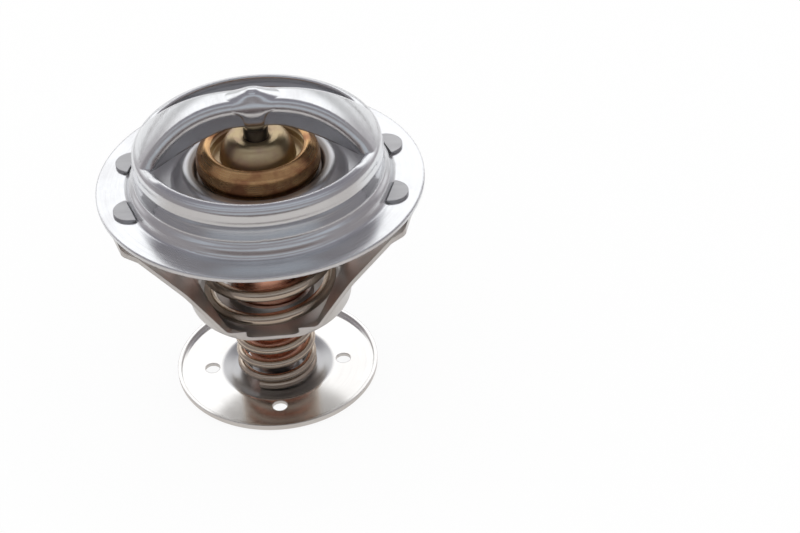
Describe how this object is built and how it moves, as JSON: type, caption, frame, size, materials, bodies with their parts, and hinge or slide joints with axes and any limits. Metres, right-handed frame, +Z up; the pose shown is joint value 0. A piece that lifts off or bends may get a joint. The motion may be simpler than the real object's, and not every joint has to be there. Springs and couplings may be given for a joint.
{
  "type": "engine thermostat",
  "caption": "Wax-element engine thermostat with a round mounting flange, an arched bridge, a sprung main valve and a sprung bypass disc below.",
  "frame": {"origin": "middle of the underside of the bypass disc, the face the thermostat stands on", "axes": "+Z up along the valve axis towards the bridge, X along the bridge and through both legs, Y through the two open windows"},
  "size_m": [0.067, 0.067, 0.0722],
  "materials": {
    "cover": "bright rolled stainless sheet",
    "lower_frame": "bright rolled stainless sheet",
    "piston": "ground",
    "guide": "turned and plated, dulled",
    "boot": "moulded",
    "capsule": "drawn copper alloy, bright",
    "wax": "cast expansion wax",
    "crimp_collar": "rolled and bright",
    "valve_plate": "bright pressed stainless",
    "main_spring": "drawn spring wire",
    "bypass_spring": "drawn spring wire",
    "spring_seat": "pressed stainless",
    "stem": "turned",
    "retaining_ring": "spring steel",
    "bypass_disc": "bright pressed stainless"
  },
  "bodies": {
    "valve_group": {"capsule": "capsule", "wax": "wax", "boot": "boot", "guide": "guide", "crimp_collar": "crimp_collar", "valve_plate": "valve_plate", "spring_seat": "spring_seat", "stem": "stem", "retaining_ring": "retaining_ring", "main_spring": "main_spring", "bypass_spring": "bypass_spring"},
    "cover_and_frame": {"cover": "cover", "lower_frame": "lower_frame", "piston": "piston"},
    "bypass_valve": {"bypass_disc": "bypass_disc"}
  },
  "joints": [
    {"name": "main_valve_lift", "type": "slide", "parent": "valve_group", "child": "cover_and_frame", "axis": [0, 0, 1], "range_m": [0, 0.0065], "stiffness_N_per_m": 2500, "springref_m": -0.01, "deforming": ["main_spring"]},
    {"name": "bypass_slide", "type": "slide", "parent": "valve_group", "child": "bypass_valve", "axis": [0, 0, 1], "range_m": [0, 0.003], "stiffness_N_per_m": 1000, "springref_m": -0.008, "deforming": ["bypass_spring"]}
  ]
}
